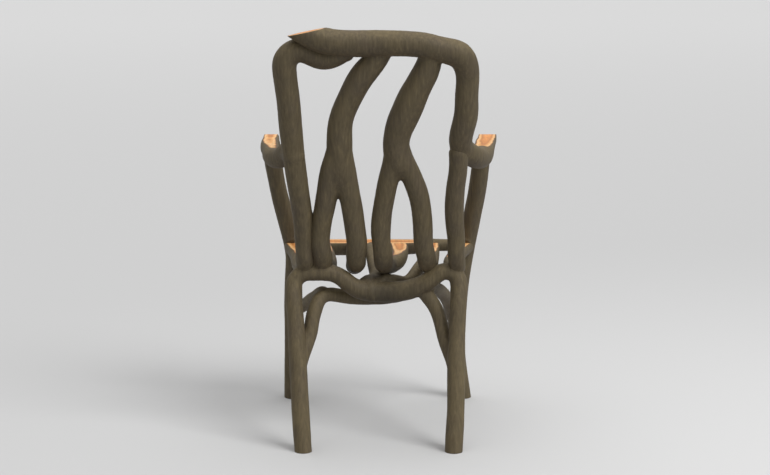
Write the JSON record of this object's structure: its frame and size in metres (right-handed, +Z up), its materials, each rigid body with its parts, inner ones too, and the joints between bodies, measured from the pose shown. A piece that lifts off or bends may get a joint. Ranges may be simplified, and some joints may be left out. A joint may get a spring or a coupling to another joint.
{
  "type": "rustic twig armchair",
  "caption": "Rustic armchair of bent bark-covered branches with forked back splats running on as the seat slats, looped arms and splayed legs.",
  "frame": {"origin": "on the floor, under the middle of the chair's overall width and depth", "axes": "+Z up, -Y the way the sitter faces, +X to the sitter's left"},
  "size_m": [0.5636, 0.5528, 0.959],
  "materials": {
    "bark_wood": "matte bark with shaved pale orange flats on the seat, the arms and the crest's end",
    "screw_steel": "plain"
  },
  "bodies": {
    "root": {"crest_branch": "bark_wood", "left_stile": "bark_wood", "right_lower_stile": "bark_wood", "left_splat": "bark_wood", "right_splat": "bark_wood", "left_arm": "bark_wood", "left_front_leg": "bark_wood", "right_front_leg": "bark_wood", "left_rear_leg": "bark_wood", "right_rear_leg": "bark_wood", "front_rail": "bark_wood", "left_rear_brace": "bark_wood", "right_rear_brace": "bark_wood", "left_front_brace": "bark_wood", "right_front_brace": "bark_wood", "forked_seat_brace": "bark_wood", "lap_screws": "screw_steel", "seat_screws": "screw_steel"}
  },
  "joints": []
}
